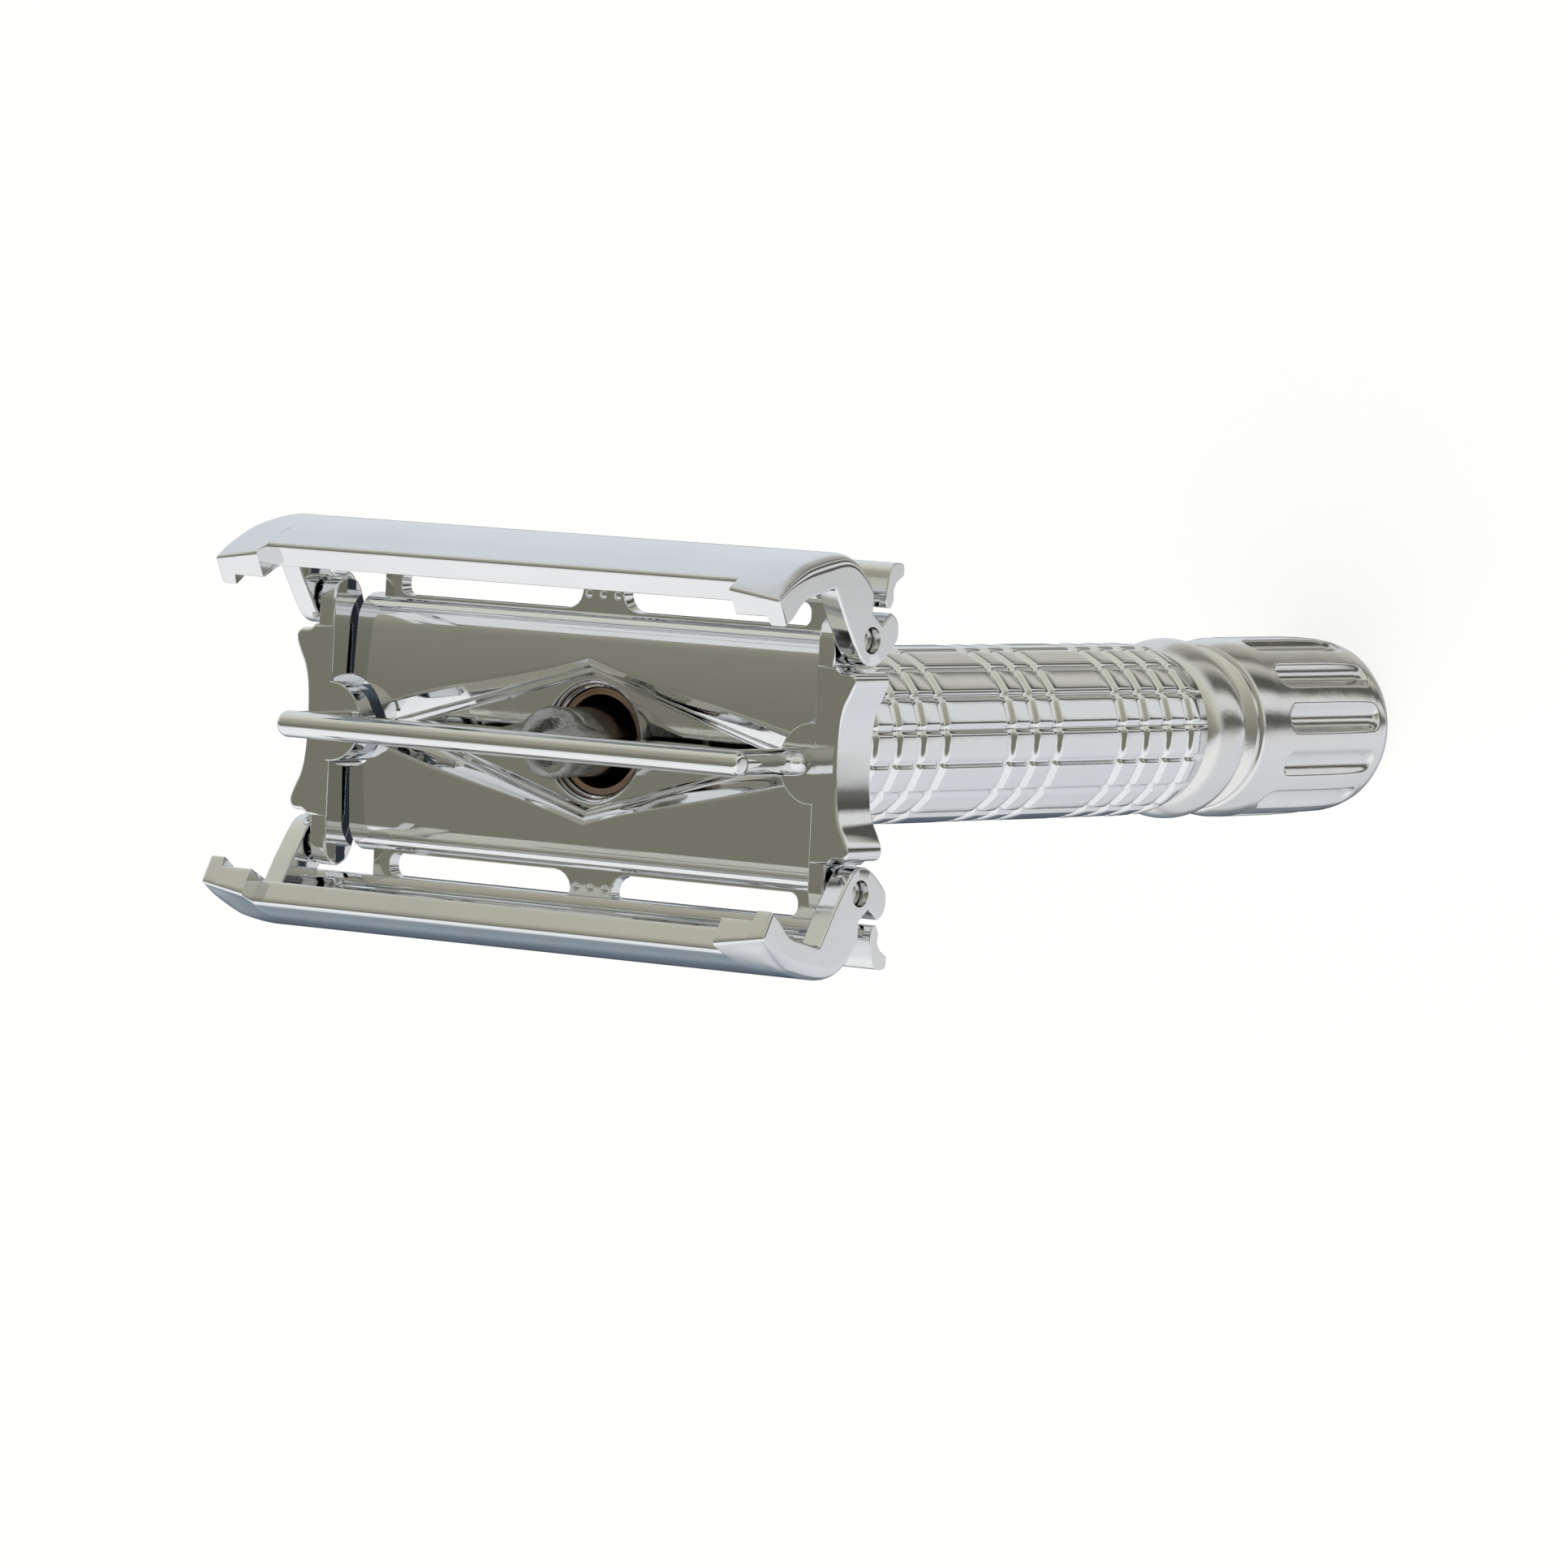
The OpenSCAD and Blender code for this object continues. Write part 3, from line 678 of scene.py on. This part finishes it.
def soft_prism(name, pts, w0, w1, axis, r, k=5, crown=None):
    """Prism whose two end faces have rounded edges of radius r; crown(a, b) may lower the far face."""
    P = np.array([(q[0], q[1]) for q in pts], float)
    lev = []
    for i in range(k + 1):
        t = math.pi / 2 * i / k
        lev.append((w0 + r * (1 - math.sin(t)), r * (1 - math.cos(t))))
    lev = lev[::-1]
    lev += [(w1 - r * (1 - math.sin(math.pi / 2 * i / k)), r * (1 - math.cos(math.pi / 2 * i / k))) for i in range(k + 1)]
    f = AX[axis]
    v, n = [], len(P)
    for w, d in lev:
        Q = offset_loop(P, d) if d > 1e-6 else P
        for q in Q:
            dw = crown(q[0], q[1]) * (w - w0) / (w1 - w0) if crown else 0.0
            v.append(f(q[0], q[1], w - dw))
    faces = [tuple(range(n))[::-1], tuple(range((len(lev) - 1) * n, len(lev) * n))]
    for i in range(len(lev) - 1):
        faces += [(i * n + q, i * n + (q + 1) % n, (i + 1) * n + (q + 1) % n, (i + 1) * n + q) for q in range(n)]
    o = add_object(name, mesh_from(name, v, faces))
    fix_normals(o)
    return o


def build_cap():
    """Plate, half-round boss and two pin arms; kept as separate solids so each keeps its rounded edges."""
    lo = [(p[0], -p[1]) + tuple(p[2:]) for p in PLAN[::-1][1:]]
    plan = [np.array(q) for q in smooth_outline(PLAN + lo, 5)]
    yield soft_prism("plate", plan, -1.75, 1.75, "z", 0.26, 6)
    q = [(18.5 - 2.45 * math.sin(math.radians(a)), 2.45 * math.cos(math.radians(a))) for a in np.linspace(0, 180, 41)]
    q = [(18.9, 2.45)] + q + [(18.9, -2.45)]
    yield soft_prism("disc", q, -1.74, 1.74, "z", 0.10, 4)
    for sg, nm in ((1, "arm_a"), (-1, "arm_b")):
        arm = [(4.0, -1.6), (6.4, -1.6)] + arc(7.45, 0.35, 1.4, -60, 55, 14) + [(7.4, 1.68), (4.0, 1.68)]
        yield soft_prism(nm, [(sg * a, b) for a, b in arm], 18.52, 19.75, "x", 0.16, 4)


for part in list(build_cap()):
    kind = part.name.split(".")[0]
    place(part, BED)
    other = copy_mirrored(part, "end_cap_left_" + kind, mx=True)
    part.name = "end_cap_right_" + kind
    for o, nd in ((part, "end_cap_right"), (other, "end_cap_left")):
        dress(o, M["cap"])
        o.modifiers["wn"].keep_sharp = True
        o.data.set_sharp_from_angle(angle=math.radians(50))
        finish(o, "carriage", "chrome_caps", nd)

# ------------------------------------------------------------------ centre bar
BT = 7.15
rid = [(0, -17.6), (0.35, -17.6)] + [(0.35 + 0.45 * math.sin(t), -17.15 - 0.45 * math.cos(t)) for t in np.linspace(0.2, math.pi / 2, 7)]
rid = rid + [(0.8, -10.0), (0.8, 0.0), (0.8, 10.0)] + [(r, -w) for r, w in rid[2:][::-1]] + [(0.35, 17.6), (0, 17.6)]
ridge = lathe("bar_ridge", rid, axis="x", at=(0, 0, BT), n=64)
place(ridge, BED)
dress(ridge, M["bar"], weighted=False)
finish(ridge, "carriage", "chrome_bar", "centre_bar")
WEB = [(-16.6, BT - 0.3, 1), (-16.6, 3.2, 1), (-15.6, 3.2), (-14.6, 3.2, 1), (-12.4, 3.2, 1), (-11.2, 2.3, 1),
       (11.2, 2.3, 1), (12.4, 3.2, 1), (14.6, 3.2, 1), (15.6, 3.2), (16.6, 3.2, 1), (16.6, BT - 0.3, 1)]
web = prism("bar_web", smooth_outline(WEB, 4), -0.6, 0.6, "y")
place(web, BED)
dress(web, M["bar"], 0.16, 3, 30)
finish(web, "carriage", "chrome_bar", "centre_bar")


def build_leg():
    """Leg with a half-round outer face that flares into its foot."""
    zz = [1.76, 1.80, 1.9, 2.05, 2.25, 2.5, 2.8, 3.2, 3.8, 4.8, 6.0, 6.8, 7.15]
    secs = []
    for z in zz:
        xo = 17.5 + 0.62 * (1 - sstep(1.76, 3.4, z)) ** 1.6
        xi = 15.95 + 0.25 * sstep(1.76, 2.6, z) - 0.35 * sstep(5.5, 7.15, z)
        r = 0.78 - (0.05 if z < 1.78 else 0.0)
        P = [(xo - r + r * math.cos(a), r * math.sin(a)) for a in np.linspace(-math.pi / 2, math.pi / 2, 17)]
        P += [(xi + 0.15, r), (xi + 0.04, r - 0.04), (xi, r - 0.15), (xi, -(r - 0.15)), (xi + 0.04, -(r - 0.04)), (xi + 0.15, -r)]
        secs.append([(a, b, z) for a, b in P])
    n = len(secs[0])
    v = [q for sc in secs for q in sc]
    faces = [tuple(range(n))[::-1], tuple(range((len(secs) - 1) * n, len(secs) * n))]
    for i in range(len(secs) - 1):
        faces += [(i * n + k, i * n + (k + 1) % n, (i + 1) * n + (k + 1) % n, (i + 1) * n + k) for k in range(n)]
    o = add_object("bar_leg_right", mesh_from("bar_leg_right", v, faces))
    fix_normals(o)
    return o


leg = build_leg()
place(leg, BED)
leg2 = copy_mirrored(leg, "bar_leg_left", mx=True)
for o in (leg, leg2):
    dress(o, M["bar"], weighted=False)
    o.data.set_sharp_from_angle(angle=math.radians(45))
    finish(o, "carriage", "chrome_bar", "centre_bar")


def boss_ring(z, hx, hy, r, n=72):
    pts = []
    for k in range(n):
        t = 2 * math.pi * k / n
        c, s = abs(math.cos(t)), abs(math.sin(t))
        dd = 1 / (c / hx + s / hy)
        rr = max(dd, r) if r else dd
        pts.append((rr * math.cos(t), rr * math.sin(t), z))
    return pts


rings = [boss_ring(2.3, 6.2, 1.7, 2.1), boss_ring(3.0, 6.3, 1.7, 2.2), boss_ring(3.9, 5.9, 1.35, 1.9), boss_ring(4.7, 5.0, 1.0, 1.3), boss_ring(5.6, 4.0, 0.62, 0.62)]
n = len(rings[0])
v = [p for r in rings for p in r]
faces = [tuple(range(n))[::-1], tuple(range((len(rings) - 1) * n, len(rings) * n))]
for i in range(len(rings) - 1):
    faces += [(i * n + k, i * n + (k + 1) % n, (i + 1) * n + (k + 1) % n, (i + 1) * n + k) for k in range(n)]
gus = add_object("bar_gusset", mesh_from("bar_gusset", v, faces))
fix_normals(gus)
place(gus, BED)
dress(gus, M["dark"], 0.0, weighted=False)
gus.data.set_sharp_from_angle(angle=math.radians(50))
finish(gus, "carriage", "chrome_bar", "centre_bar")

rod = lathe("lift_rod_body", [(0, -44), (2.1, -44), (2.1, 1.6), (2.08, 2.1), (1.95, 2.45), (1.7, 2.6), (0, 2.62)], n=72)
place(rod, BED)
dress(rod, M["dark"], weighted=False)
rod.data.set_sharp_from_angle(angle=math.radians(50))
finish(rod, "carriage", "steel_dark", "lift_rod", "bar_rivet")

# ------------------------------------------------------------------ grip
GR = 5.65
RINGS = [40.3 - 7.0 - 2.48 + k * 2.48 for k in (-3, -2, -1, 0)]
PM = BED - 38.7
RINGS = [PM - 7.0 - 2.48 - 2.48 * k for k in (3, 2, 1, 0)] + [PM - 2.48, PM, PM + 2.48] + [PM + 7.0 + 2.48 + 2.48 * k for k in range(4)]
P0, P1 = RINGS[0] - 1.9, RINGS[-1] + 1.9
ROWS = 16


def grip_radius(r, t, z):
    if r < 4.0:
        return r
    if not (P0 - 0.6 < z < P1 + 0.6):
        return r
    win = sstep(P0 - 0.4, P0 + 0.3, z) * (1 - sstep(P1 - 0.3, P1 + 0.4, z))
    step = 2 * math.pi / ROWS
    tl = ((t - math.radians(7.25)) / step) % 1.0 - 0.5   # 0 at the tile's middle
    a = tl * step
    flat = GR * math.cos(step / 2) / math.cos(a)
    rr = r + (flat - GR) * 0.78 * win
    u = (0.5 - abs(tl)) * step * GR       # distance from the groove's middle
    gz = min(abs(z - q) for q in RINGS)
    gl = (1 - sstep(0.0, 0.34, u))
    gr = 1 - sstep(0.10, 0.60, gz)
    pill = 0.05 * (1 - min(1.0, u / 0.85)) ** 2 * win + 0.05 * (1 - min(1.0, max(0.0, gz - 0.2) / 0.9)) ** 2 * win
    rr -= 0.20 * gl * win + 0.32 * gr * win * (1 - 0.35 * gl) + pill
    return rr


zs = [21.4, 21.6, 21.9, 22.2]
z = P0 - 0.6
while z < P1 + 0.6:
    zs.append(z)
    gz = min(abs(z - q) for q in RINGS)
    z += 0.085 if gz < 0.78 else 0.28
zs += [P1 + 0.6, P1 + 1.2, P1 + 2.0, P1 + 3.0, P1 + 4, P1 + 5, P1 + 6.5, P1 + 8, P1 + 10, 71.0, 73.5, 74.2, 74.7, 74.98]


def base_r(z):
    X = [21.4, 21.6, 21.9, 22.4, 22.9, P1 + 0.4, P1 + 0.9, P1 + 2.2, P1 + 3.6, P1 + 5, P1 + 6.5, P1 + 8, 72.0, 74.0, 74.75, 75.0]
    Y = [5.15, 5.35, 5.48, 5.58, GR, GR, GR - 0.22, GR - 0.14, GR - 0.25, 5.2, 5.02, 4.95, 4.95, 5.08, 5.08, 4.9]
    return float(np.interp(z, X, Y))


prof = [(base_r(z), z) for z in zs] + [(4.3, 75.0), (4.3, 71.0), (3.6, 71.0), (3.6, 21.4)]
grip = lathe("grip_tiles", prof, n=ROWS * 18, rfun=grip_radius)
place(grip)
dress(grip, M["grip"], weighted=False)
grip.data.set_sharp_from_angle(angle=math.radians(60))
finish(grip, "handle", "chrome_grip", "grip_tube")

# ball collar
zc = (15.5 + 21.4) / 2
prof = [(3.6, 15.5), (5.2, 15.5), (5.3, 15.56)]
prof += [(5.85 - 3.1 + 3.1 * math.cos(a), zc + 3.1 * math.sin(a)) for a in np.linspace(-math.radians(50), math.radians(64), 30)]
prof = [(min(r, 5.85), min(max(z_, 15.52), 21.38)) for r, z_ in prof if r > 3.5]
prof += [(4.7, 21.4), (3.6, 21.4)]
col = lathe("ball_collar", prof, n=128)
place(col)
dress(col, M["collar"], weighted=False)
col.data.set_sharp_from_angle(angle=math.radians(50))
finish(col, "handle", "chrome_collar", "end_collar")

# knob
KR = 5.9
FL = 12


def knob_radius(r, t, z):
    if r < 4.7:
        return r
    step = 2 * math.pi / FL
    a = (((t - math.radians(9.5)) / step + 0.5) % 1.0 - 0.5) * step
    # distance from the flute's axis line, with rounded ends
    x = r * math.sin(a)
    if z < 2.6:
        dz = 2.6 - z
    elif z > 11.4:
        dz = z - 11.4
    else:
        dz = 0.0
    q = math.hypot(x, dz)
    R, c = 0.98, KR + 0.38
    if q < R:
        surf = c - math.sqrt(R * R - q * q)
        k = 0.12
        h = max(0.0, min(1.0, 0.5 + 0.5 * (r - surf) / k))
        return r * (1 - h) + surf * h - k * h * (1 - h) if surf < r + k else r
    return r


def knob_base(z):
    X = [0, 0.08, 0.3, 0.7, 1.2, 2.0, 3.5, 6.0, 11.0, 13.4, 14.1, 14.6, 14.85, 15.0]
    Y = [4.6, 4.95, 5.3, 5.52, 5.64, 5.74, 5.84, 5.9, 5.9, 5.84, 5.74, 5.62, 5.52, 5.42]
    return float(np.interp(z, X, Y))


kz = [0.0, 0.03, 0.08, 0.15, 0.3, 0.5, 0.7, 0.95, 1.2] + list(np.linspace(1.4, 3.0, 16)) + list(np.linspace(3.4, 11.0, 18)) + list(np.linspace(11.3, 13.0, 16)) + [13.4, 13.8, 14.1, 14.35, 14.6, 14.75, 14.85, 14.95, 15.0]
prof = [(0, 1.5), (2.35, 1.5), (2.4, 1.45), (2.4, 0.12), (2.52, 0.0), (3.5, 0.0)] + [(knob_base(z), z) for z in kz] + [(0, 15.0)]
kn = lathe("knob_body", prof, n=FL * 24, rfun=knob_radius)
place(kn)
dress(kn, M["knob"], weighted=False)
kn.data.set_sharp_from_angle(angle=math.radians(60))
finish(kn, "knob", "chrome_knob", "knob")

ws = lathe("friction_ring", [(2.0, 15.0), (5.22, 15.0), (5.3, 15.08), (5.32, 15.22), (5.3, 15.38), (5.22, 15.47), (2.0, 15.47)], n=96)
place(ws)
dress(ws, M["collar"], weighted=False)
ws.data.set_sharp_from_angle(angle=math.radians(50))
finish(ws, "knob", "steel_dark", "friction_washer")

# door pins: plain studs with a slightly domed end inside each ear
for sx, nx_ in ((1, "right"), (-1, "left")):
    for sy, ny_ in ((1, "front"), (-1, "back")):
        pn = lathe("pin_%s_%s" % (nx_, ny_), [(0, 18.9), (0.74, 18.9), (0.74, 20.86), (0.70, 20.95), (0.55, 21.02), (0.28, 21.05), (0, 21.06)], axis="x", n=48)
        if sx < 0:
            pn.data.transform(Matrix.Diagonal((-1, 1, 1, 1)))
            pn.data.flip_normals()
        pn.data.transform(Matrix.Translation((0, sy * HY, HZ)))
        place(pn, BED)
        dress(pn, M["pin"], weighted=False)
        pn.data.set_sharp_from_angle(angle=math.radians(50))
        finish(pn, "carriage", "chrome_pins", "hinge_pins")

# ------------------------------------------------------------------ CAD nodes that stay
for nd, key in (("cap_rivets", "cap"), ("rod_guide", "brass"), ("tail_bush", "brass"), ("drive_screw", "brass"),
                ("rod_nut", "brass"), ("guide_key", "brass"), ("thrust_washer", "dark"), ("retaining_ring", "dark"),
                ("knob_screw", "dark")):
    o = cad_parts[nd]
    if not o.material_slots:
        o.data.materials.append(M[key])
    for s in o.material_slots:
        s.material = M[key]

# ------------------------------------------------------------------ floor
fl = add_object("floor", mesh_from("floor", [(-6, -6, 0), (6, -6, 0), (6, 6, 0), (-6, 6, 0)], [(0, 1, 2, 3)]))
fm = bpy.data.materials.new("floor_pale")
fm.use_nodes = True
nt = fm.node_tree
nt.nodes.clear()
out = nt.nodes.new("ShaderNodeOutputMaterial")
lp = nt.nodes.new("ShaderNodeLightPath")
em = nt.nodes.new("ShaderNodeEmission")
em.inputs["Color"].default_value = (1, 1, 1, 1)
em.inputs["Strength"].default_value = 0.72
df = nt.nodes.new("ShaderNodeBsdfDiffuse")
df.inputs["Color"].default_value = (0.55, 0.55, 0.55, 1)
ad = nt.nodes.new("ShaderNodeAddShader")
tr = nt.nodes.new("ShaderNodeBsdfTransparent")
mx = nt.nodes.new("ShaderNodeMixShader")
nt.links.new(em.outputs[0], ad.inputs[0])
nt.links.new(df.outputs[0], ad.inputs[1])
nt.links.new(lp.outputs["Is Camera Ray"], mx.inputs[0])
nt.links.new(tr.outputs[0], mx.inputs[1])
nt.links.new(ad.outputs[0], mx.inputs[2])
nt.links.new(mx.outputs[0], out.inputs["Surface"])
fl.data.materials.append(fm)

# ------------------------------------------------------------------ soft studio surround
world = bpy.data.worlds.new("studio")
scene.world = world
world.use_nodes = True
nt = world.node_tree
nt.nodes.clear()
out = nt.nodes.new("ShaderNodeOutputWorld")
bg = nt.nodes.new("ShaderNodeBackground")
nt.links.new(bg.outputs[0], out.inputs["Surface"])
tc = nt.nodes.new("ShaderNodeTexCoord")


def w_dot(vec):
    d = nt.nodes.new("ShaderNodeVectorMath")
    d.operation = "DOT_PRODUCT"
    nt.links.new(tc.outputs["Generated"], d.inputs[0])
    d.inputs[1].default_value = tuple(vec)
    return d.outputs["Value"]


def w_step(sock, a, b):
    r = nt.nodes.new("ShaderNodeMapRange")
    r.interpolation_type = "SMOOTHSTEP"
    r.inputs["From Min"].default_value = a
    r.inputs["From Max"].default_value = b
    r.inputs["To Min"].default_value = 0.0
    r.inputs["To Max"].default_value = 1.0
    if a > b:
        r.inputs["From Min"].default_value = b
        r.inputs["From Max"].default_value = a
        r.inputs["To Min"].default_value = 1.0
        r.inputs["To Max"].default_value = 0.0
    nt.links.new(sock, r.inputs["Value"])
    return r.outputs["Result"]


def w_mul(*socks):
    s = socks[0]
    for q in socks[1:]:
        mm = nt.nodes.new("ShaderNodeMath")
        mm.operation = "MULTIPLY"
        nt.links.new(s, mm.inputs[0])
        nt.links.new(q, mm.inputs[1])
        s = mm.outputs[0]
    return s


def w_mix(base, col, fac):
    x = nt.nodes.new("ShaderNodeMix")
    x.data_type = "RGBA"
    if isinstance(base, tuple):
        x.inputs["A"].default_value = (*base, 1)
    else:
        nt.links.new(base, x.inputs["A"])
    x.inputs["B"].default_value = (*col, 1)
    nt.links.new(fac, x.inputs["Factor"])
    return x.outputs["Result"]


def cap_mask(c, inner, outer):
    c = Vector(c).normalized()
    return w_step(w_dot(c), math.cos(math.radians(outer)), math.cos(math.radians(inner)))


def w_atan2(a, b):
    """Angle of (b, a) as 0..1 from -180 to 180 degrees."""
    at = nt.nodes.new("ShaderNodeMath")
    at.operation = "ARCTAN2"
    nt.links.new(a, at.inputs[0])
    nt.links.new(b, at.inputs[1])
    ml = nt.nodes.new("ShaderNodeMath")
    ml.operation = "MULTIPLY_ADD"
    ml.inputs[1].default_value = 0.5 / math.pi
    ml.inputs[2].default_value = 0.5
    nt.links.new(at.outputs[0], ml.inputs[0])
    return ml.outputs[0]


def w_ramp(sock, stops):
    r = nt.nodes.new("ShaderNodeValToRGB")
    r.color_ramp.interpolation = "LINEAR"
    el = r.color_ramp.elements
    el[0].position, el[1].position = 0.0, 1.0
    stops = [((a + 180.0) / 360.0, c if isinstance(c, tuple) else (c, c, c)) for a, c in stops]
    el[0].color = (*stops[0][1], 1)
    el[1].color = (*stops[-1][1], 1)
    for a, c in stops[1:-1]:
        e = el.new(a)
        e.color = (*c, 1)
    nt.links.new(sock, r.inputs["Fac"])
    return r.outputs["Color"]


def warm(v):
    return (v, v * 0.985, v * 0.88)


def cool(v):
    return (v * 0.97, v, v * 1.03)


X, Y, Z = w_dot((1, 0, 0)), w_dot((0, 1, 0)), w_dot((0, 0, 1))
# soft boxes and room tones around the long axis of the head
F1 = w_ramp(w_atan2(Z, Y), [(-180, 1.0), (-162, 0.86), (-150, 0.70), (-141, (0.33, 0.38, 0.41)), (-124, (0.20, 0.245, 0.285)), (-112, (0.12, 0.15, 0.19)),
            (-105, (0.055, 0.07, 0.09)), (-90, (0.03, 0.036, 0.045)), (-85, (0.05, 0.055, 0.06)), (-78, (0.74, 0.78, 0.81)),
            (-20, (0.74, 0.78, 0.81)), (-6, 0.75), (14, (0.70, 0.71, 0.61)), (34, (0.585, 0.58, 0.49)), (54, (0.41, 0.39, 0.32)),
            (74, (0.33, 0.33, 0.265)), (90, (0.215, 0.21, 0.168)), (111, (0.215, 0.21, 0.168)), (117, (0.85, 0.87, 0.88)),
            (135, 1.0), (180, 1.0)])
# tones around the handle
F2 = w_ramp(w_atan2(Y, X), [(-180, 0.42), (-160, cool(0.60)), (-146, cool(0.63)), (-138, cool(0.34)), (-128, (0.16, 0.19, 0.22)), (-118, cool(0.30)),
            (-106, cool(0.74)), (-86, cool(0.74)), (-60, cool(0.78)), (-20, cool(0.82)), (-9, 0.80), (-2, 0.62), (3, warm(0.18)), (8, warm(0.10)),
            (16, warm(0.10)), (22, 0.60), (26, 0.80), (38, 0.80), (43, warm(0.45)), (48, warm(0.10)), (60, warm(0.10)), (67, warm(0.38)),
            (77, warm(0.66)), (88, warm(0.16)), (98, warm(0.34)),
            (112, warm(0.50)), (125, warm(0.58)), (140, warm(0.62)), (155, warm(0.50)), (166, warm(0.34)), (176, 0.36), (180, 0.42)])
WF = w_mul(w_step(X, -0.47, -0.35), w_step(Z, 0.1, -0.2))
mixw = nt.nodes.new("ShaderNodeMix")
mixw.data_type = "RGBA"
nt.links.new(F1, mixw.inputs["A"])
nt.links.new(F2, mixw.inputs["B"])
nt.links.new(WF, mixw.inputs["Factor"])
col_ = mixw.outputs["Result"]
nt.links.new(col_, bg.inputs["Color"])
bg.inputs["Strength"].default_value = 1.0

scene.view_settings.view_transform = "Standard"
scene.view_settings.look = "None"
